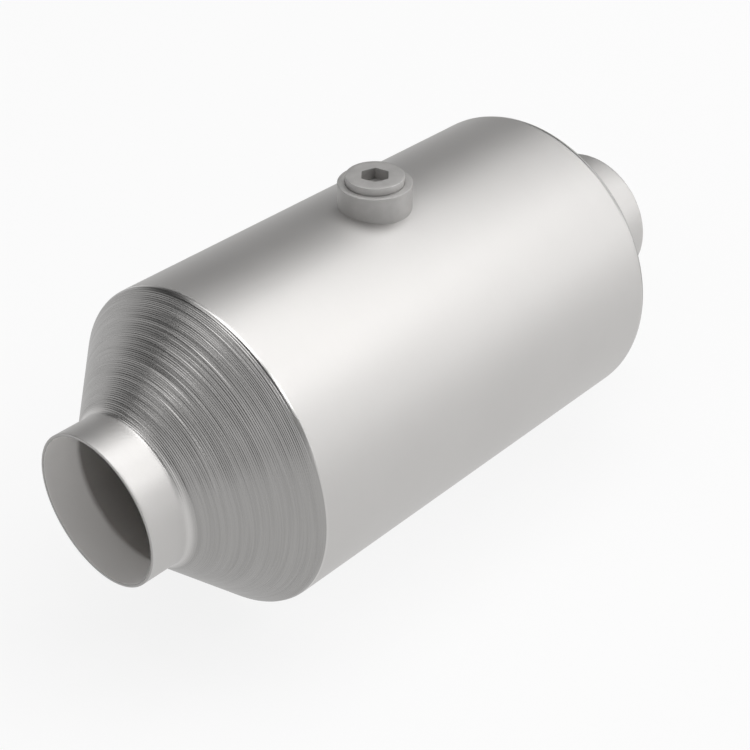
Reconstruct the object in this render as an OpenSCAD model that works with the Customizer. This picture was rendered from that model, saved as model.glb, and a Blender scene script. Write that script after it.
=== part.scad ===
// Catalytic converter: a spun stainless can that holds two ceramic bricks, with a plugged
// sensor port half way along it. The origin is the centre of the inlet neck's open rim,
// +X runs along the can to the outlet, and +Z points to the sensor port.

/* [Can] */
// Outside diameter of the round body
body_d = 127; // [124:1:140]
// Length of the straight body, between the corners of the two cones
body_len = 185.5; // [182:0.5:260]
// Length of each cone along the axis
cone_len = 32.5; // [26:0.5:45]
// Length of each neck, from its rim to the corner of its cone
neck_len = 15.5; // [12:0.5:40]
// Outside diameter of each neck
neck_d = 59.7; // [48:0.1:76]
// Thickness of the sheet
wall = 1.2; // [0.8:0.1:2]
// Outside radius of the bend between a neck and its cone
foot_bend = 3; // [2:0.5:6]
// Outside radius of the bend between a cone and the body
shoulder_bend = 4; // [3:0.5:5]

/* [Spinning marks] */
// Number of shallow rings that the forming roller left on each cone
ridge_count = 24; // [8:1:36]
// Depth of the deepest ring
ridge_depth = 0.18; // [0.05:0.01:0.3]

/* [Bricks and mats] */
// Diameter of each ceramic brick
brick_d = 118.4; // [100:0.2:120.6]
// Length of each brick
brick_len = 76.2; // [60:0.1:78]
// Space between the two bricks, under the sensor port
brick_gap = 25; // [24:0.5:28]
// Width of the knitted wire seal at each end of a mat
seal_len = 6; // [4:0.5:8]
// Width of the open seam where the ends of a mat meet
seam_w = 0.6; // [0.3:0.1:1]
// Sideways step of the tongue that locks the ends of a mat
tongue_step = 22; // [10:1:30]

/* [Sensor port] */
// Diameter of the boss
boss_d = 28.2; // [26:0.1:32]
// Height of the boss above the top of the body
boss_h = 9.1; // [7:0.1:14]
// Diameter of the spigot that goes through the can
spigot_d = 22; // [20:0.5:23]
// Mean diameter of the M18 x 1.5 thread, which is drawn plain
thread_d = 17; // [14:0.1:17.8]
// Diameter of the recess in the top of the boss
recess_d = 22.8; // [22.6:0.1:25]
// Depth of the recess
recess_h = 2.2; // [1.8:0.1:4]
// Small bevel round the top of the boss and of the plug
bevel = 0.4; // [0.2:0.1:0.8]

/* [Plug] */
// Diameter of the plug's collar
collar_d = 22.2; // [19:0.1:22.4]
// Thickness of the collar
collar_h = 3.6; // [3:0.1:5]
// Size of the hexagon socket across its flats
hex_size = 10; // [6:1:12]
// Depth of the socket
hex_depth = 4.5; // [4:0.5:8]
// Angle at which the plug stopped when it was tightened
hex_turn = 42.5; // [0:0.5:60]
// Length of the threaded shank below the collar
shank_len = 12; // [8:0.5:14]
// Bevel at the end of the shank
shank_bevel = 1.2; // [0.5:0.1:2]
// Diameter of the sealing washer under the collar
washer_d = 22; // [20:0.1:22.4]
// Diameter of the washer's hole
washer_bore_d = 18.2; // [18:0.1:19]
// Thickness of the washer
washer_h = 1.5; // [1:0.1:1.8]

/* [Hidden] */
$fn = 96;
bend_steps = 6;
overcut = 1;

body_r = body_d / 2;
bore_r = body_r - wall;
neck_r = neck_d / 2;
total_len = body_len + 2 * cone_len + 2 * neck_len;
cone_angle = atan2(body_r - neck_r, cone_len);
foot_x = neck_len - foot_bend * tan(cone_angle / 2);
shoulder_x = neck_len + cone_len + shoulder_bend * tan(cone_angle / 2);

mid_x = total_len / 2;
front_x = mid_x - brick_gap / 2 - brick_len;
rear_x = mid_x + brick_gap / 2;
mat_len = brick_len - 2 * seal_len;

boss_top = body_r + boss_h;
spigot_z = bore_r - 3;
seat_z = boss_top - recess_h;
collar_z = seat_z + washer_h;
plug_top = collar_z + collar_h;
shank_z = collar_z - shank_len;

// Points on an arc round [x, r], from angle a to angle b
function arc(x, r, radius, a, b) =
    [for (i = [0:bend_steps]) let (t = a + (b - a) * i / bend_steps)
        [x + radius * cos(t), r + radius * sin(t)]];

// The two bends of a cone, on the surface that lies inset under the outside of the sheet
function foot(inset) =
    arc(foot_x, neck_r + foot_bend, foot_bend + inset, -90, -90 + cone_angle);
function shoulder(inset) =
    arc(shoulder_x, body_r - shoulder_bend, shoulder_bend - inset, 90 + cone_angle, 90);

// Crests and grooves up the slope, between the end of the foot and the start of the shoulder
function groove(i) = ridge_depth * (0.7 + 0.3 * sin(137 * i));
function slope_point(t, depth) =
    let (low = foot(0)[bend_steps], high = shoulder(0)[0])
    low + (high - low) * t + depth * [sin(cone_angle), -cos(cone_angle)];
function ridges() =
    [for (i = [0:ridge_count - 1], half = [0:1]) if (i + half > 0)
        slope_point((i + half / 2) / ridge_count, half * groove(i))];

function outside_half() = concat([[0, neck_r]], foot(0), ridges(), shoulder(0));
function inside_half() = concat([[0, neck_r - wall]], foot(wall), shoulder(wall));
function reversed(p) = [for (i = [len(p) - 1:-1:0]) p[i]];
function whole(half) = concat(half, [for (p = reversed(half)) [total_len - p[0], p[1]]]);

// Lays a shape that stands on its end along the can
module along_can(x = 0) {
    translate([x, 0, 0]) rotate([0, 90, 0]) children();
}

// Turns a list of [radius, height] points about the port's axis
module turned(points) {
    translate([mid_x, 0, 0]) rotate_extrude() polygon(points);
}

module ring(x, length, outer, inner) {
    along_can(x) difference() {
        cylinder(r = outer, h = length);
        translate([0, 0, -overcut]) cylinder(r = inner, h = length + 2 * overcut);
    }
}

// One spun tube: body, cones and necks, with a hole for the boss
module shell() {
    outline = concat(whole(outside_half()), reversed(whole(inside_half())));
    color([0.78, 0.77, 0.75]) difference() {
        along_can() rotate_extrude() polygon([for (p = outline) [p[1], p[0]]]);
        translate([mid_x, 0, body_r / 2]) cylinder(d = spigot_d, h = body_r);
    }
}

// Boss with a saddle foot, a spigot in the can's hole and a recess for the washer
module sensor_boss() {
    color([0.6, 0.6, 0.59]) difference() {
        union() {
            difference() {
                turned([[0, spigot_z], [boss_d / 2, spigot_z], [boss_d / 2, boss_top - bevel],
                    [boss_d / 2 - bevel, boss_top], [0, boss_top]]);
                along_can() cylinder(r = body_r, h = total_len);
            }
            translate([mid_x, 0, spigot_z]) cylinder(d = spigot_d, h = seat_z - spigot_z);
        }
        translate([mid_x, 0, spigot_z - overcut]) cylinder(d = thread_d, h = boss_top);
        translate([mid_x, 0, seat_z]) cylinder(d = recess_d, h = recess_h + overcut);
    }
}

// Screw plug with a round collar and a hexagon socket
module port_plug() {
    color([0.61, 0.61, 0.6]) difference() {
        turned([[0, shank_z], [thread_d / 2 - shank_bevel, shank_z],
            [thread_d / 2, shank_z + shank_bevel], [thread_d / 2, collar_z],
            [collar_d / 2, collar_z], [collar_d / 2, plug_top - bevel],
            [collar_d / 2 - bevel, plug_top], [0, plug_top]]);
        translate([mid_x, 0, plug_top - hex_depth]) rotate(hex_turn)
            cylinder(d = hex_size / cos(30), h = hex_depth + overcut, $fn = 6);
    }
}

// Flat ring that the collar crushes onto the floor of the recess
module plug_washer() {
    color([0.72, 0.45, 0.3]) turned([[washer_bore_d / 2, seat_z], [washer_d / 2, seat_z],
        [washer_d / 2, collar_z], [washer_bore_d / 2, collar_z]]);
}

// Ceramic brick, its fine cells drawn as one solid
module brick(x) {
    color([0.62, 0.61, 0.59]) along_can(x) cylinder(d = brick_d, h = brick_len);
}

// Fibre mat wrapped once round a brick, with a stepped seam at the bottom of the can
module mat(x) {
    color([0.85, 0.83, 0.76]) difference() {
        ring(x, mat_len, bore_r, brick_d / 2);
        translate([x, 0, -body_r]) linear_extrude(body_r / 2) seam();
    }
}

// Outline of the seam: straight, with one tongue across the middle third
module seam() {
    third = mat_len / 3;
    translate([-overcut, 0]) square([third + overcut + seam_w, seam_w]);
    translate([third, 0]) square([seam_w, tongue_step]);
    translate([third, tongue_step]) square([third, seam_w]);
    translate([2 * third, 0]) square([seam_w, tongue_step + seam_w]);
    translate([2 * third, 0]) square([third + overcut, seam_w]);
}

// Ring of knitted wire that shields the edge of a mat from the gas
module seal(x) {
    color([0.5, 0.5, 0.5]) ring(x, seal_len, bore_r, brick_d / 2);
}

shell();
sensor_boss();
port_plug();
plug_washer();
brick(front_x);  // front_brick
brick(rear_x);  // rear_brick
mat(front_x + seal_len);  // front_mat
mat(rear_x + seal_len);  // rear_mat
seal(front_x);  // front_inlet_seal
seal(front_x + brick_len - seal_len);  // front_outlet_seal
seal(rear_x);  // rear_inlet_seal
seal(rear_x + brick_len - seal_len);  // rear_outlet_seal
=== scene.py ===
import math

import bmesh
import bpy
import numpy as np
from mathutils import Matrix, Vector


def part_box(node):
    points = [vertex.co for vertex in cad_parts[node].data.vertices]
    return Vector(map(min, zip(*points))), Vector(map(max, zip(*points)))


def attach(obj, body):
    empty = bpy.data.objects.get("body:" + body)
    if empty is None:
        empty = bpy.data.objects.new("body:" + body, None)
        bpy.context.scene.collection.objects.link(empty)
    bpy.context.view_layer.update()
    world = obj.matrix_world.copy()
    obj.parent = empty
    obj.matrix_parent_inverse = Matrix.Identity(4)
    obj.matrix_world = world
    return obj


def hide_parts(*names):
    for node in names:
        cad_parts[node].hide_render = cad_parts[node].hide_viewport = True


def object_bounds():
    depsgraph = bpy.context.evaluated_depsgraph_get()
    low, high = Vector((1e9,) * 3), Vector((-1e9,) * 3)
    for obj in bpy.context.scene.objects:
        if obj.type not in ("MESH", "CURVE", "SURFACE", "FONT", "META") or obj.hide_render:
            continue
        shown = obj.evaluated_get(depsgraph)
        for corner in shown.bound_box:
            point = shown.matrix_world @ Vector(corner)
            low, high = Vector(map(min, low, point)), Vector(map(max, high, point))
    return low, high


# Round catalytic converter: the looks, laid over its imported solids. All in metres.
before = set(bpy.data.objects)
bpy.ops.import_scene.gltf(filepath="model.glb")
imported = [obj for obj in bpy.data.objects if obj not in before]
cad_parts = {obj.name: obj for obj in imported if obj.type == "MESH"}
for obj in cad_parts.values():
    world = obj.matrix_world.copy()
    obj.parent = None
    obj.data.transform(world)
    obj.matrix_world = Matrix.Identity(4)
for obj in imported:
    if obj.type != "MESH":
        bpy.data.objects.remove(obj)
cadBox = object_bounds()
print("frame loaded:", len(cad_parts), "nodes")

scene = bpy.context.scene
scene.view_settings.view_transform = "Standard"


# Shader tools

class Signal:    # a node's socket that can stand in a sum
    def __init__(self, finish, socket):
        self.finish = finish
        self.socket = socket

    def __add__(self, other):
        return self.finish.math("ADD", self, other)

    def __sub__(self, other):
        return self.finish.math("SUBTRACT", self, other)

    def __rsub__(self, other):
        return self.finish.math("SUBTRACT", other, self)

    def __mul__(self, other):
        return self.finish.math("MULTIPLY", self, other)

    __radd__ = __add__
    __rmul__ = __mul__


class Finish:    # one material, or the world, and the nodes that make it
    def __init__(self, name, kind=bpy.data.materials):
        self.material = kind.new(name)
        self.material.use_nodes = True
        self.tree = self.material.node_tree
        self.tree.nodes.clear()

    def node(self, kind, settings=None, sockets=None, output=0):
        made = self.tree.nodes.new(kind)
        for key, value in (settings or {}).items():
            setattr(made, key, value)
        usable = [entry for entry in made.inputs if entry.enabled]
        for key, value in (sockets or {}).items():
            entry = usable[key] if isinstance(key, int) else next(e for e in usable if e.name == key)
            if isinstance(value, Signal):
                self.tree.links.new(value.socket, entry)
            else:
                entry.default_value = value
        if not made.outputs:
            return None
        if isinstance(output, str):
            return Signal(self, made.outputs[output])
        return Signal(self, [way for way in made.outputs if way.enabled][output])

    def math(self, operation, *values):
        return self.node("ShaderNodeMath", {"operation": operation}, dict(enumerate(values)))

    def mixed(self, share, first, second):
        return self.node("ShaderNodeMix", {"data_type": "RGBA"}, {"Factor": share, "A": first, "B": second})

    def place(self, stretch=(1, 1, 1)):
        spot = self.node("ShaderNodeTexCoord", output="Object")
        return self.node("ShaderNodeVectorMath", {"operation": "MULTIPLY"}, {0: spot, 1: stretch})

    def noise(self, scale, detail, roughness, stretch=(1, 1, 1)):
        sockets = {"Vector": self.place(stretch), "Scale": scale, "Detail": detail, "Roughness": roughness}
        return self.node("ShaderNodeTexNoise", None, sockets)

    def ranged(self, value, low, high, first=0.0, last=1.0):
        sockets = {0: value, 1: low, 2: high, 3: first, 4: last}
        return self.node("ShaderNodeMapRange", {"interpolation_type": "SMOOTHSTEP"}, sockets)

    def patterned(self, noise, pair, low=0.3, high=0.7):
        # a pair of colours, mixed by a noise
        return self.mixed(self.ranged(noise, low, high), *pair)

    def raised(self, height, strength, distance=0.0001):
        sockets = {"Strength": strength, "Distance": distance, "Height": height}
        return self.node("ShaderNodeBump", None, sockets)

    def coated(self, sockets):
        shader = self.node("ShaderNodeBsdfPrincipled", None, sockets)
        self.node("ShaderNodeOutputMaterial", None, {"Surface": shader})
        return self.material


def tone(level, warmth=0.0):
    return (level * (1 + warmth), level, level * (1 - warmth), 1.0)


def tones(dark, light, warmth):
    return tone(dark, warmth), tone(light, warmth)


# Mesh tools: a stack is rows of points round an axis, shaped (rows, points in a row, 3)

sharpAngle = math.radians(30)


def fullTurn(count, start=0.0):
    return start + np.arange(count) * 2 * math.pi / count


def stackRings(along, radius, turn, axis="x", centre=0.0):
    rows = len(along)
    along = np.broadcast_to(np.reshape(along, (rows, -1)), (rows, len(turn)))
    radius = np.broadcast_to(np.reshape(radius, (rows, -1)), (rows, len(turn)))
    across = radius * np.cos(turn)
    up = radius * np.sin(turn)
    if axis == "x":
        return np.stack([along, across, up], axis=-1)
    return np.stack([centre + across, up, along], axis=-1)


def arc(along, radius, bend, start, end, steps):
    turn = np.radians(np.linspace(start, end, steps + 1))
    return [(along + bend * math.cos(t), radius + bend * math.sin(t)) for t in turn]


def gridFaces(number, closed=True):
    # from the points' numbers: each row is a ring, and a closed grid ends where it began
    low = number if closed else number[:-1]
    high = np.roll(number, -1, axis=0) if closed else number[1:]
    quads = np.stack([low, np.roll(low, -1, axis=1), np.roll(high, -1, axis=1), high], axis=-1)
    return quads.reshape(-1, 4).tolist()


def meshPiece(name, points, faces, material, sharpRow=None):
    # an edge is sharp at a steep corner, and where it lies in a row that sharpRow numbers
    mesh = bpy.data.meshes.new(name)
    mesh.from_pydata(np.asarray(points).tolist(), [], [tuple(face) for face in faces])
    mesh.update()
    mesh.polygons.foreach_set("use_smooth", np.ones(len(mesh.polygons), bool))
    marks = np.zeros(len(mesh.edges), bool)
    if sharpRow is not None:
        ends = np.empty(len(mesh.edges) * 2, np.int32)
        mesh.edges.foreach_get("vertices", ends)
        first, second = sharpRow[ends.reshape(-1, 2)].T
        marks = (first == second) & (first > 0)
    markSharp(mesh, marks)
    mesh.materials.append(material)
    piece = bpy.data.objects.new(name, mesh)
    scene.collection.objects.link(piece)
    return piece


def markSharp(mesh, marks):
    mesh.set_sharp_from_angle(angle=sharpAngle)
    corners = np.empty(len(mesh.edges), bool)
    mesh.attributes["sharp_edge"].data.foreach_get("value", corners)
    mesh.attributes["sharp_edge"].data.foreach_set("value", corners | marks)


def skinOver(name, stack, material, sharpRows=(), closed=True, firstTip=None, lastTip=None):
    rows, count = stack.shape[:2]
    number = np.arange(rows * count).reshape(rows, count)
    faces = gridFaces(number, closed)
    points = stack.reshape(-1, 3)
    for tip, row, inward in ((firstTip, number[0], True), (lastTip, number[-1], False)):
        if tip is None:
            continue
        points = np.vstack([points, tip])
        top = len(points) - 1
        for a, b in zip(row.tolist(), np.roll(row, -1).tolist()):
            faces.append((top, b, a) if inward else (top, a, b))
    named = np.zeros(rows, int)
    named[list(sharpRows)] = np.arange(len(sharpRows)) + 1
    named = np.concatenate([np.repeat(named, count), np.zeros(len(points) - rows * count, int)])
    return meshPiece(name, points, faces, material, named)


def slab(name, placed, solid, material, wrapped=False):
    # a plate of small fields: placed holds its two faces as (columns, rows, 3), solid the filled fields
    columns, rows = solid.shape
    number = np.arange(placed[0].shape[0] * placed[0].shape[1]).reshape(placed[0].shape[:2])
    behind = number.size
    left = number[:columns, :]
    right = np.roll(number, -1, axis=0)[:columns, :] if wrapped else number[1:, :]
    a, b, c, d = left[:, :-1], right[:, :-1], right[:, 1:], left[:, 1:]
    faces = [np.stack([a, b, c, d], -1)[solid], np.stack([d, c, b, a], -1)[solid] + behind]
    empty = np.zeros((1, rows), bool)
    leftOf = np.roll(solid, 1, axis=0) if wrapped else np.vstack([empty, solid[:-1]])
    rightOf = np.roll(solid, -1, axis=0) if wrapped else np.vstack([solid[1:], empty])
    empty = np.zeros((columns, 1), bool)
    under = np.hstack([empty, solid[:, :-1]])
    over = np.hstack([solid[:, 1:], empty])
    for beside, first, last in ((leftOf, d, a), (rightOf, b, c), (under, a, b), (over, c, d)):
        edge = solid & ~beside
        faces.append(np.stack([last[edge], first[edge], first[edge] + behind, last[edge] + behind], -1))
    points = np.concatenate([placed[0].reshape(-1, 3), placed[1].reshape(-1, 3)])
    faces = np.concatenate(faces)
    used, compact = np.unique(faces, return_inverse=True)
    return meshPiece(name, points[used], compact.reshape(-1, 4).tolist(), material)


def dress(piece, node):
    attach(piece, "root")
    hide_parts(node)
    print(piece.name, "stands for", node, "with", len(piece.data.polygons), "faces")


# Camera, at the photograph's angle

shot = dict(
    place=(-0.23999, -0.35471, 0.35001), lookAt=(0.19478, 0.05031, -0.06663), lens=75.816, sensor=36.0,
    nearest=0.01,
)


def makeCamera():
    data = bpy.data.cameras.new("camera")
    data.lens = shot["lens"]
    data.sensor_width = shot["sensor"]
    data.clip_start = shot["nearest"]
    camera = bpy.data.objects.new("camera", data)
    camera.location = shot["place"]
    way = Vector(shot["lookAt"]) - Vector(shot["place"])
    camera.rotation_euler = way.to_track_quat("-Z", "Y").to_euler()
    scene.collection.objects.link(camera)
    scene.camera = camera


makeCamera()
print("camera set")


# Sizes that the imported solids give

shellLow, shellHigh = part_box("shell")
bossLow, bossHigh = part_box("sensor_boss")
plugLow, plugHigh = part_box("port_plug")
washerLow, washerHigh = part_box("plug_washer")
canLength = shellHigh.x - shellLow.x
bodyRadius = -shellLow.z
portX = (bossLow.x + bossHigh.x) / 2


# The can: one spun tube, with a hole for the boss

can = dict(
    neckRadius=0.02985, neckLength=0.0155, coneLength=0.0325, wall=0.0012, footBend=0.003,
    shoulderBend=0.004, bendSteps=8, rimSoft=0.0002, rimSteps=3, support=0.001, around=240,
    spigotHole=0.0110, holeAround=96, holeField=0.0125, samePoint=0.0000001,
)
spinning = dict(    # marks of the forming roller on the cones
    lines=68, depth=0.00012, shallowest=0.65, fallShare=0.34, unevenStep=0.28, waves=(1, 2, 3, 5),
    faintestWave=0.3, waveSum=1.5, fading=0.2, wander=0.00002, fadeIn=0.003, start=0.0008, finish=0.0011,
    seed=11,
)
stainless = dict(    # a fade is the width of a mask's edge, or where the edge begins and ends
    # the cones' roller-lined tones sit well below the body's: painted shade, with real grain between the two
    # levels
    # the inside of the ends is painted pale: painted light in the shaded hollow
    body=tones(0.525, 0.54, 0.018), coneShade=tones(0.31, 0.345, 0.018), inside=tone(0.84, 0.018),
    # the rim's darker tone is painted shade
    rim=tone(0.40, 0.018), footFade=0.002, shoulderFade=0.0004, coneShadeFade=(0.0015, 0.004),
    lastLineFade=0.0001, rimShadeFade=(0.00015, 0.0001), paintedLightFade=(0.0005, 0.0008), dull=0.5,
    glossOfCones=0.2, dullerInside=0.3, paintedLightShare=0.7, uneven=0.04, streakRelief=0.02,
)


class ConeProfile:    # outside of one cone with its two bends, seen as a path from the neck to the body
    def __init__(self):
        c = can
        self.slope = math.atan2(bodyRadius - c["neckRadius"], c["coneLength"])
        self.footX = c["neckLength"] - c["footBend"] * math.tan(self.slope / 2)
        self.shoulderX = c["neckLength"] + c["coneLength"] + c["shoulderBend"] * math.tan(self.slope / 2)
        bends = (c["footBend"] + c["shoulderBend"]) * math.sin(self.slope)
        self.straight = (self.shoulderX - self.footX - bends) / math.cos(self.slope)
        self.footEnd = c["footBend"] * self.slope
        self.length = self.footEnd + self.straight + c["shoulderBend"] * self.slope
        self.linesEnd = self.length - spinning["finish"]

    def at(self, distance, depth):
        # place on the path, and that deep under the skin
        foot, shoulder = can["footBend"], can["shoulderBend"]
        low = np.clip(distance, 0, self.footEnd) / foot
        flat = np.clip(distance - self.footEnd, 0, self.straight)
        high = np.clip(distance - self.footEnd - self.straight, 0, None) / shoulder
        slope, lean = self.slope, low - high
        x = self.footX + foot * np.sin(low) + flat * math.cos(slope)
        x += shoulder * (math.sin(slope) - np.sin(slope - high))
        radius = can["neckRadius"] + foot * (1 - np.cos(low)) + flat * math.sin(slope)
        radius += shoulder * (np.cos(slope - high) - math.cos(slope))
        return x + depth * np.sin(lean), radius - depth * np.cos(lean)


def rollerLines(turn, path, seed):
    # distance up the cone and depth, all round, of each groove and crest, between two smooth bends;
    # the last value numbers the rows that these lines bound
    s = spinning
    start, last = s["start"], path.linesEnd
    chance = np.random.default_rng(seed)
    rows = 2 * s["lines"] - 1
    steps = 1 + s["unevenStep"] * chance.uniform(-1, 1, rows + 1)
    steps *= np.where(np.arange(rows + 1) % 2 == 0, s["fallShare"], 1 - s["fallShare"])
    distance = start + np.cumsum(steps)[:-1] / steps.sum() * (last - start)
    deep = chance.uniform(s["shallowest"], 1.0, rows) * s["depth"]
    deep *= np.clip(distance / s["fadeIn"], 0, 1)
    deep[1::2] = 0.0
    uneven = np.zeros((rows, len(turn)))
    sway = np.zeros((rows, len(turn)))
    for waves in s["waves"]:
        shift = chance.uniform(0, 2 * math.pi, (rows, 1))
        uneven += chance.uniform(s["faintestWave"], 1.0, (rows, 1)) * np.sin(waves * turn + shift)
        sway += np.sin(waves * turn + shift) / waves
    depth = np.clip(deep[:, None] * (1 + s["fading"] * uneven / s["waveSum"]), 0, None)
    distance = distance[:, None] + s["wander"] * sway
    whole = np.ones(len(turn))
    foot = np.outer([start / 2, start], whole)
    shoulder = np.outer(np.linspace(last, path.length, can["bendSteps"] // 2)[:-1], whole)
    depth = np.vstack([0 * foot, depth, 0 * shoulder])
    return np.vstack([foot, distance, shoulder]), depth, range(len(foot), len(foot) + rows + 1)


def canEnd(turn, seed):
    # one end: rows over the outside from the rim to the body, then rows inside, back to the rim
    c = can
    path = ConeProfile()
    lean = math.degrees(path.slope)
    soft, wall, neck, support = c["rimSoft"], c["wall"], c["neckRadius"], c["support"]
    before = arc(soft, neck - soft, soft, 180, 90, c["rimSteps"])
    before += [(soft + support, neck), (path.footX - support, neck), (path.footX, neck)]
    after = [(path.shoulderX, bodyRadius), (path.shoulderX + support, bodyRadius)]
    distance, depth, marked = rollerLines(turn, path, seed)
    lines = path.at(distance, depth)
    whole = np.ones(len(turn))
    outside = [np.vstack([np.outer([p[i] for p in before], whole), lines[i],
                          np.outer([p[i] for p in after], whole)]) for i in (0, 1)]
    shoulderCentre = bodyRadius - c["shoulderBend"]
    within = [(path.shoulderX + support, bodyRadius - wall)]
    within += arc(path.shoulderX, shoulderCentre, c["shoulderBend"] - wall, 90, 90 + lean, c["bendSteps"])
    within += arc(path.footX, neck + c["footBend"], c["footBend"] + wall, lean - 90, -90, c["bendSteps"])
    within += [(path.footX - support, neck - wall), (soft + support, neck - wall)]
    within += arc(soft, neck - wall + soft, soft, 270, 180, c["rimSteps"])
    inside = [np.outer([p[i] for p in within], whole) for i in (0, 1)]
    return outside, inside, [len(before) + row for row in marked]


def makeShell():
    turn = fullTurn(can["around"])
    firstOut, firstIn, marked = canEnd(turn, spinning["seed"])
    lastOut, lastIn, marked = canEnd(turn, spinning["seed"] + 1)
    field = can["holeField"]    # half the length of the rows that the hole cuts
    middle = [canLength / 4, portX - field, portX + field, 0.75 * canLength]
    middle = np.outer(middle, np.ones(len(turn)))
    bore = bodyRadius - can["wall"]
    along = np.vstack([firstOut[0], middle, canLength - lastOut[0][::-1],
                       canLength - lastIn[0][::-1], middle[::-1], firstIn[0]])
    radius = np.vstack([firstOut[1], np.full_like(middle, bodyRadius), lastOut[1][::-1],
                        lastIn[1][::-1], np.full_like(middle, bore), firstIn[1]])
    outerRows = 2 * len(firstOut[0]) + len(middle)
    lines = list(marked) + [outerRows - 1 - row for row in marked]
    shell = skinOver("spun_can", stackRings(along, radius, turn), satinStainless(), lines)
    cutSpigotHole(shell)
    return shell


def cutSpigotHole(shell):
    heights = [bodyRadius * 0.5, bodyRadius * 1.1]    # well inside the sheet, and well outside
    rows = stackRings(heights, [can["spigotHole"]] * 2, fullTurn(can["holeAround"]), "z", portX)
    tips = rows[0].mean(0), rows[1].mean(0)
    cutter = skinOver("hole_cutter", rows, shell.data.materials[0], (), False, *tips)
    cut = shell.modifiers.new("spigot_hole", "BOOLEAN")
    cut.solver = "EXACT"
    cut.object = cutter
    cut.operation = "DIFFERENCE"
    ready = shell.evaluated_get(bpy.context.evaluated_depsgraph_get())
    holed = bpy.data.meshes.new_from_object(ready)
    joinPoints(holed, can["samePoint"])
    marks = np.empty(len(holed.edges), bool)
    holed.attributes["sharp_edge"].data.foreach_get("value", marks)
    markSharp(holed, marks)
    shell.modifiers.clear()
    shell.data = holed
    bpy.data.objects.remove(cutter)


def joinPoints(mesh, gap):
    # the cut leaves doubled points where a line of the grid meets a corner of the hole
    joined = bmesh.new()
    joined.from_mesh(mesh)
    bmesh.ops.remove_doubles(joined, verts=joined.verts, dist=gap)
    joined.to_mesh(mesh)
    joined.free()


def satinStainless():
    s = stainless
    f = Finish("satin_stainless")
    path = ConeProfile()
    along = f.node("ShaderNodeSeparateXYZ", None, {0: f.place()}, output="X")
    fromEnd = canLength / 2 - f.math("ABSOLUTE", along - canLength / 2)
    # masks: the spun slope, its roller lines under painted shade, the cut rim under painted shade and the
    # inside of the ends under painted light
    spun = f.ranged(fromEnd, path.footX, path.footX + s["footFade"])
    spun = spun * f.ranged(fromEnd, path.shoulderX, path.shoulderX - s["shoulderFade"])
    lastLine = float(path.at(path.linesEnd, 0)[0])
    # painted shade: the roller-lined part of each cone is coloured darker than the body
    coneShade = f.ranged(fromEnd, path.footX + s["coneShadeFade"][0], path.footX + s["coneShadeFade"][1])
    coneShade = coneShade * f.ranged(fromEnd, lastLine + s["lastLineFade"], lastLine - s["lastLineFade"])
    # painted shade: the rim's edge is coloured darker
    rimShade = f.ranged(fromEnd, *s["rimShadeFade"])
    radius = f.node("ShaderNodeVectorMath", {"operation": "LENGTH"}, {0: f.place((0, 1, 1))}, output="Value")
    skin = (fromEnd - can["neckLength"]) * math.tan(path.slope) + can["neckRadius"]
    skin = f.math("MINIMUM", bodyRadius, f.math("MAXIMUM", can["neckRadius"], skin))
    # painted light: marks the inside of the ends, whose hollow is painted pale
    within = f.ranged(skin - radius, *s["paintedLightFade"])
    streaks = f.noise(scale=1600, detail=4, roughness=0.6, stretch=(1, 0.012, 0.012))
    cloud = f.noise(scale=22, detail=4, roughness=0.5)
    # the cones' darker tones, painted shade, mixed by the streaks' real grain
    shadedStreaks = f.patterned(streaks, s["coneShade"], low=0.35, high=0.65)
    colour = f.mixed(coneShade, f.patterned(cloud, s["body"]), shadedStreaks)
    # painted light: the insides are coloured pale
    colour = f.mixed(within, colour, s["inside"])
    # painted shade on the rim
    colour = f.mixed(rimShade, colour, s["rim"])
    roughness = s["dull"] - s["glossOfCones"] * spun + s["dullerInside"] * within
    roughness = roughness + (streaks - 0.5) * s["uneven"] + (cloud - 0.5) * s["uneven"]
    normal = f.raised(streaks, s["streakRelief"])
    # painted light: the insides lose most of their metal, so their pale colour shows
    metallic = 1.0 - s["paintedLightShare"] * within
    return f.coated({"Base Color": colour, "Metallic": metallic, "Roughness": roughness, "Normal": normal})


# Sensor port: boss, plug and washer

port = dict(around=120, turnedBy=42.5, edge=0.00025, fineEdge=0.0001, edgeSteps=3)    # of boss and plug
portTurn = fullTurn(port["around"], math.radians(port["turnedBy"]))
thread = dict(
    pitch=0.0015, mean=0.0085, height=0.0004, steepness=1.25, rowsPerPitch=8, gap=0.00003, lead=0.0006,
    relief=0.0012,
)


def threadRows(low, high, gap):
    heights = np.arange(low, high, thread["pitch"] / thread["rowsPerPitch"])
    climb = (heights[:, None] / thread["pitch"] - portTurn[None, :] / (2 * math.pi)) % 1.0
    wave = np.clip(thread["steepness"] * (1 - 4 * np.abs(climb - 0.5)), -1, 1)
    return heights, thread["mean"] + gap + thread["height"] * wave


def portRings(rows, turn):
    # rows of (height, radius), either of them a number or one value for each point round
    whole = np.ones(len(turn))
    heights = np.vstack([row[0] * whole for row in rows])
    radii = np.vstack([row[1] * whole for row in rows])
    return stackRings(heights, radii, turn, "z", portX)


steel = dict(uneven=0.1, relief=0.06)


def plainSteel(name, pair, dull):
    f = Finish(name)
    grain = f.noise(scale=2600, detail=2, roughness=0.6)
    cloud = f.noise(scale=160, detail=4, roughness=0.55)
    roughness = dull + (grain - 0.5) * steel["uneven"] + (cloud - 0.5) * steel["uneven"]
    return f.coated({"Base Color": f.patterned(cloud, pair), "Metallic": 1.0, "Roughness": roughness,
                     "Normal": f.raised(grain, steel["relief"])})


boss = dict(
    radius=(bossHigh.x - bossLow.x) / 2, spigotRadius=0.0110, recessRadius=0.0112, footBand=0.0008,
    saddleRing=0.0125, colours=tones(0.44, 0.49, 0.018), dull=0.62,
)


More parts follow.
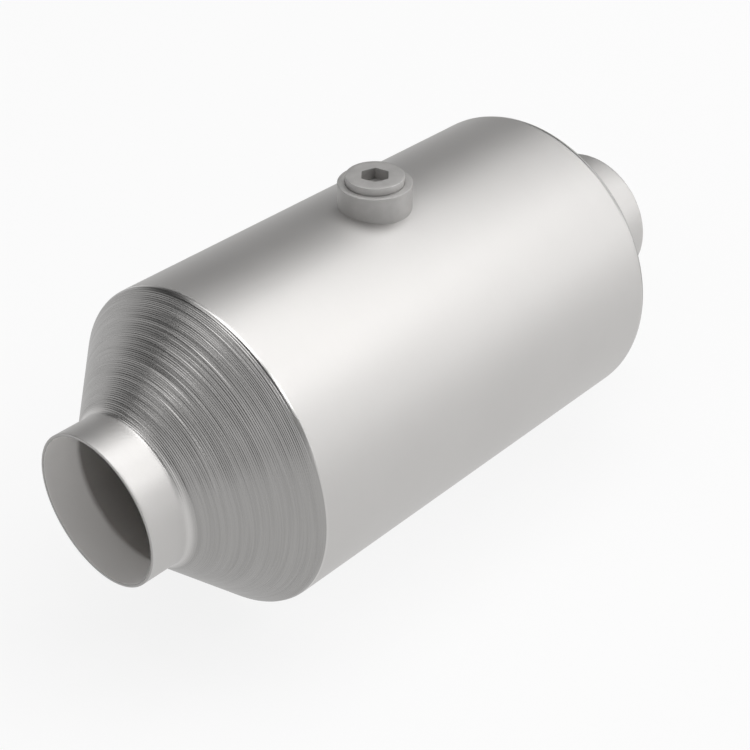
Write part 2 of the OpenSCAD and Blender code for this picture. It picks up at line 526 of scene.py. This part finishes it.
def makeBoss():
    b = boss
    top, seat, low = bossHigh.z, washerLow.z, bossLow.z
    edge, fineEdge, steps = port["edge"], port["fineEdge"], port["edgeSteps"]
    threadEnd = thread["mean"] + thread["lead"]

    def saddle(radius):
        return np.sqrt(bodyRadius ** 2 - (radius * np.sin(portTurn)) ** 2)

    heights, threaded = threadRows(low + thread["lead"], seat - thread["lead"], thread["gap"])
    rows = [(saddle(b["radius"]), b["radius"]), (bodyRadius + b["footBand"], b["radius"])]
    rows += arc(top - edge, b["radius"] - edge, edge, 90, 0, steps)
    rows += arc(top - fineEdge, b["recessRadius"] + fineEdge, fineEdge, 0, -90, steps)
    rows += [(seat + fineEdge, b["recessRadius"]), (seat, b["recessRadius"] - fineEdge), (seat, threadEnd)]
    rows += list(zip(heights[::-1], threaded[::-1]))
    rows += [(low, threadEnd), (low, b["spigotRadius"] - edge), (low + edge, b["spigotRadius"])]
    rows += [(saddle(b["spigotRadius"]), b["spigotRadius"]), (saddle(b["saddleRing"]), b["saddleRing"])]
    material = plainSteel("boss_steel", b["colours"], b["dull"])
    return skinOver("threaded_boss", portRings(rows, portTurn), material)


plug = dict(
    radius=(plugHigh.x - plugLow.x) / 2, undercut=0.0001, tipBevel=0.0006, topRing=0.0090,
    socketApothem=0.005, socketDepth=0.0045, drillDepth=0.0011, drillShare=0.94,
    colours=tones(0.45, 0.50, 0.018), dull=0.60,
)


def socketRadius():
    sixth = math.pi / 3
    # the hair keeps each corner in its own sixth
    across = np.mod(portTurn - math.radians(port["turnedBy"]) + 1e-9, sixth) - sixth / 2
    return plug["socketApothem"] / np.cos(across)


def makePlug():
    p = plug
    low, top, collar = plugLow.z, plugHigh.z, washerHigh.z
    edge, fineEdge = port["edge"], port["fineEdge"]
    neckRadius = thread["mean"] - thread["height"] - p["undercut"]
    heights, threaded = threadRows(low, collar - thread["relief"], -thread["gap"])
    threaded = np.minimum(threaded, (neckRadius - p["tipBevel"] + (heights - low))[:, None])
    hexagon = socketRadius()
    floor = top - p["socketDepth"]
    rows = list(zip(heights, threaded))
    rows += [(collar - thread["relief"], neckRadius), (collar, neckRadius)]
    rows += [(collar, p["radius"] - edge), (collar + edge, p["radius"])]
    rows += arc(top - edge, p["radius"] - edge, edge, 90, 0, port["edgeSteps"])
    rows += [(top, p["topRing"]), (top, hexagon + fineEdge / 2), (top - fineEdge / 2, hexagon)]
    rows += [(top - p["socketDepth"] / 2, hexagon), (floor, hexagon)]
    rows += [(floor, p["socketApothem"] * p["drillShare"])]
    material = plainSteel("plug_steel", p["colours"], p["dull"])
    tips = (portX, 0, low), (portX, 0, floor - p["drillDepth"])
    return skinOver("screw_plug", portRings(rows, portTurn), material, (), False, *tips)


washer = dict(
    bore=0.0091, edgeSteps=4, colours=((0.52, 0.25, 0.14, 1), (0.74, 0.42, 0.27, 1)), dull=0.38, uneven=0.3,
    relief=0.1,
)


def makeWasher():
    turn = fullTurn(port["around"])
    inner, outer = washer["bore"], (washerHigh.x - washerLow.x) / 2
    low, high = washerLow.z, washerHigh.z
    soft, steps = (high - low) / 3, washer["edgeSteps"]
    rows = arc(low + soft, outer - soft, soft, 180, 90, steps)
    rows += arc(high - soft, outer - soft, soft, 90, 0, steps)
    rows += arc(high - soft, inner + soft, soft, 0, -90, steps)
    rows += arc(low + soft, inner + soft, soft, -90, -180, steps)
    return skinOver("crush_washer", portRings(rows, turn), softCopper())


def softCopper():
    f = Finish("soft_copper")
    cloud = f.noise(scale=400, detail=4, roughness=0.6)
    roughness = washer["dull"] + (cloud - 0.5) * washer["uneven"]
    return f.coated({"Base Color": f.patterned(cloud, washer["colours"]), "Metallic": 1.0,
                     "Roughness": roughness, "Normal": f.raised(cloud, washer["relief"])})


# Ceramic bricks: square cells that run right through

bricks = dict(
    pitch=0.00127, web=0.00019, skin=0.0005, colours=tones(0.78, 0.86, 0.03), dull=0.85, uneven=0.2,
    relief=0.3,
)


def makeBrick(name, node, material):
    low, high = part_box(node)
    radius = -low.z
    cells = int(2 * radius / bricks["pitch"]) + 1
    middles = (np.arange(cells + 1) - cells / 2) * bricks["pitch"]
    lines = np.sort(np.concatenate([middles - bricks["web"] / 2, middles + bricks["web"] / 2]))
    across, up = np.meshgrid(lines, lines, indexing="ij")
    far = np.hypot(across, up)
    corners = np.stack([far[:-1, :-1], far[1:, :-1], far[:-1, 1:], far[1:, 1:]])
    inHole = np.arange(len(lines) - 1) % 2 == 1
    openField = inHole[:, None] & inHole[None, :] & (corners.max(0) < radius - bricks["skin"])
    solid = (corners.min(0) < radius) & ~openField
    pull = np.minimum(1.0, radius / far)    # brings the outermost corners onto the round skin
    across, up = across * pull, up * pull
    faces = [np.stack([np.full_like(across, x), across, up], -1) for x in (high.x, low.x)]
    return slab(name, faces, solid, material)


def coatedCeramic():
    f = Finish("coated_ceramic")
    blotch = f.noise(scale=60, detail=5, roughness=0.6)
    grain = f.noise(scale=3000, detail=2, roughness=0.5)
    roughness = bricks["dull"] + (grain - 0.5) * bricks["uneven"]
    return f.coated({"Base Color": f.patterned(blotch, bricks["colours"]), "Roughness": roughness,
                     "Normal": f.raised(grain, bricks["relief"])})


# Fibre mats, each wrapped once round its brick with a stepped seam

mats = dict(
    thickness=0.0031, seam=0.0006, tongue=0.022, around=180, rows=24,
    colours=((0.70, 0.66, 0.55, 1), (0.90, 0.87, 0.79, 1)), fleck=(0.48, 0.40, 0.26, 1), dull=0.95, sheen=0.3,
    relief=0.6, reliefDepth=0.0003,
)


def makeMat(name, node, material):
    low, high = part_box(node)
    outer, inner = high.z, high.z - mats["thickness"]
    length, seam, tongue = high.x - low.x, mats["seam"], mats["tongue"]
    third = length / 3
    # lap: distances round the mat, from the bottom of the can towards +Y
    rim = 2 * math.pi * outer
    near = np.array([0, seam, tongue / 4, tongue / 2, 3 * tongue / 4, tongue, tongue + seam])
    rest = np.linspace(tongue + seam, rim, mats["around"], endpoint=False)[1:]
    lap = np.concatenate([near, rest])
    steps = np.array([third, third + seam, 2 * third, 2 * third + seam])
    plain = np.linspace(0, length, mats["rows"])
    keep = np.min(np.abs(plain[:, None] - steps[None, :]), axis=1) > seam
    along = np.sort(np.concatenate([plain[keep], steps]))
    # middle of each field, and the fields that the seam leaves open
    at = (lap[:, None] + np.append(lap[1:], rim)[:, None]) / 2
    x = (along[None, :-1] + along[None, 1:]) / 2
    straight = (at < seam) & ((x < third + seam) | (x > 2 * third))
    stepUp = (at < tongue) & (x > third) & (x < third + seam)
    stepDown = (at < tongue + seam) & (x > 2 * third) & (x < 2 * third + seam)
    tip = (at > tongue) & (at < tongue + seam) & (x > third) & (x < 2 * third + seam)
    solid = ~(straight | stepUp | stepDown | tip)
    turn = lap / outer - math.pi / 2
    faces = []
    for radius in (outer, inner):
        stack = stackRings(low.x + along, np.full(len(along), radius), turn)
        faces.append(np.swapaxes(stack, 0, 1))
    return slab(name, faces, solid, material, wrapped=True)


def pressedFibre():
    f = Finish("pressed_fibre")
    fibres = f.noise(scale=900, detail=5, roughness=0.7)
    flecks = f.noise(scale=260, detail=2, roughness=0.5)
    plain = f.patterned(fibres, mats["colours"])
    colour = f.patterned(flecks, (plain, mats["fleck"]), low=0.66, high=0.74)
    return f.coated({"Base Color": colour, "Roughness": mats["dull"], "Sheen Weight": mats["sheen"],
                     "Normal": f.raised(fibres, mats["relief"], mats["reliefDepth"])})


# Seals: rings of knitted wire over a packed core

knit = dict(
    wire=0.00013, wireSides=3, rows=12, loops=96, pointsPerLoop=8, sway=0.0009, lean=0.0006, cover=0.00032,
    squareness=0.35, coreSides=24, coreAround=96, colours=tones(0.36, 0.56, 0.02), dull=0.34, uneven=0.12,
)


def makeSeal(name, node, material):
    k = knit
    low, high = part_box(node)
    outer, inner = high.z, high.z - mats["thickness"]
    middleX, middleR = (low.x + high.x) / 2, (outer + inner) / 2
    halfX, halfR = (high.x - low.x) / 2, (outer - inner) / 2

    def section(turn, inset):
        # rounded box round the middle of the seal's section
        c, s = np.cos(turn), np.sin(turn)
        return (middleX + (halfX - inset) * np.sign(c) * np.abs(c) ** k["squareness"],
                middleR + (halfR - inset) * np.sign(s) * np.abs(s) ** k["squareness"])

    coreX, coreR = section(fullTurn(k["coreSides"], math.pi)[::-1], k["cover"])
    stacks = [stackRings(coreX, coreR, fullTurn(k["coreAround"]))]
    t = fullTurn(k["loops"] * k["pointsPerLoop"])
    for row in range(k["rows"]):
        phase = k["loops"] * t + (row % 2) * math.pi
        place = 2 * math.pi * (row + 0.5) / k["rows"] + k["sway"] / halfR * 0.5 * np.sin(phase)
        ring = t + k["lean"] / middleR * np.sin(2 * phase)
        lift = k["cover"] * 0.5 + k["wire"] * 0.5 * np.cos(2 * phase)
        x, r = section(place, lift)
        path = np.stack([x, r * np.cos(ring), r * np.sin(ring)], -1)
        stacks.append(sweep(path, k["wire"], k["wireSides"]))
    points, faces, count = [], [], 0
    for stack in stacks:
        number = count + np.arange(stack[..., 0].size).reshape(stack.shape[:2])
        points.append(stack.reshape(-1, 3))
        faces += gridFaces(number)
        count += number.size
    return meshPiece(name, np.concatenate(points), faces, material)


def sweep(path, radius, sides):
    ahead = np.roll(path, -1, axis=0) - np.roll(path, 1, axis=0)
    ahead /= np.linalg.norm(ahead, axis=1, keepdims=True)
    upright = np.cross(ahead, np.array([1.0, 0.3, 0.2]))    # a direction that no wire follows
    upright /= np.linalg.norm(upright, axis=1, keepdims=True)
    beside = np.cross(ahead, upright)
    turn = fullTurn(sides)
    return (path[:, None, :] + radius * np.cos(turn)[None, :, None] * upright[:, None, :]
            + radius * np.sin(turn)[None, :, None] * beside[:, None, :])


def knittedWire():
    f = Finish("knitted_wire")
    heat = f.noise(scale=90, detail=3, roughness=0.5)
    roughness = knit["dull"] + heat * knit["uneven"]
    return f.coated({"Base Color": f.patterned(heat, knit["colours"]), "Metallic": 1.0,
                     "Roughness": roughness})


dress(makeShell(), "shell")
dress(makeBoss(), "sensor_boss")
dress(makePlug(), "port_plug")
dress(makeWasher(), "plug_washer")
ceramic, fibre, wire = coatedCeramic(), pressedFibre(), knittedWire()
for end in ("front", "rear"):
    dress(makeBrick(end + "_honeycomb", end + "_brick", ceramic), end + "_brick")
    dress(makeMat(end + "_fibre_wrap", end + "_mat", fibre), end + "_mat")
    for side in ("inlet", "outlet"):
        seal = end + "_" + side + "_seal"
        dress(makeSeal(seal + "_knit", seal, wire), seal)


# Studio

studio = dict(
    floorDrop=0.0004, floorHalf=20.0, floorLevel=0.8, floorGlow=0.85, worldLevel=0.05, horizonLevel=0.85,
    horizonTop=0.36, lampReach=3.0,
)
lamps = dict(    # azimuth, elevation, width and power of each soft box
    key=(-60, 44, 1.0, 17.5), right=(-30, 44, 1.0, 8.95), rightLow=(-45, 20, 1.0, 7.75),
    floorSide=(-60, 10, 1.0, 5.3), farSide=(-20, 20, 2.0, 6.8), overRight=(0, 70, 2.0, 39.3),
    overBack=(90, 70, 2.0, 19.2), left=(180, 30, 3.0, 19.5), front=(-130, 20, 2.0, 7.9),
)


def makeFloor():
    # pale to the camera, in gloss and through glass alike; the rest of it is paper that takes the shadow
    f = Finish("pale_floor")
    seen = f.node("ShaderNodeLightPath", output="Is Camera Ray")
    mirrored = f.node("ShaderNodeLightPath", output="Is Glossy Ray")
    through = f.node("ShaderNodeLightPath", output="Is Transmission Ray")
    share = f.math("MAXIMUM", f.math("MAXIMUM", seen, mirrored), through) * studio["floorGlow"]
    paper = f.node("ShaderNodeBsdfDiffuse", None, {"Color": tone(studio["floorLevel"])})
    glow = f.node("ShaderNodeEmission", None, {"Color": tone(1.0), "Strength": 1.0})
    both = f.node("ShaderNodeMixShader", None, {0: share, 1: paper, 2: glow})
    f.node("ShaderNodeOutputMaterial", None, {"Surface": both})
    half = studio["floorHalf"]
    height = cadBox[0][2] - studio["floorDrop"]
    corners = [(-half, -half, height), (half, -half, height), (half, half, height), (-half, half, height)]
    meshPiece("floor", corners, [(0, 1, 2, 3)], f.material)


def makeLamp(name, azimuth, elevation, width, power):
    data = bpy.data.lights.new(name, "AREA")
    data.size = width
    data.energy = power
    lamp = bpy.data.objects.new(name, data)
    az = math.radians(azimuth)
    el = math.radians(elevation)
    way = Vector((math.cos(el) * math.cos(az), math.cos(el) * math.sin(az), math.sin(el)))
    lamp.location = Vector((canLength / 2, 0, 0)) + way * studio["lampReach"]
    lamp.rotation_euler = (-way).to_track_quat("-Z", "Y").to_euler()
    scene.collection.objects.link(lamp)


def makeWorld():
    # dim overhead, and paler towards the horizon
    f = Finish("studio", bpy.data.worlds)
    way = f.node("ShaderNodeTexCoord", output="Generated")
    up = f.node("ShaderNodeSeparateXYZ", None, {0: way}, output="Z")
    strength = f.ranged(up, 0.0, studio["horizonTop"], studio["horizonLevel"], studio["worldLevel"])
    background = f.node("ShaderNodeBackground", None, {"Color": tone(1.0), "Strength": strength})
    f.node("ShaderNodeOutputWorld", None, {"Surface": background})
    scene.world = f.material


makeFloor()
makeWorld()
for name, (azimuth, elevation, width, power) in lamps.items():
    makeLamp(name, azimuth, elevation, width, power)
print("studio lit")
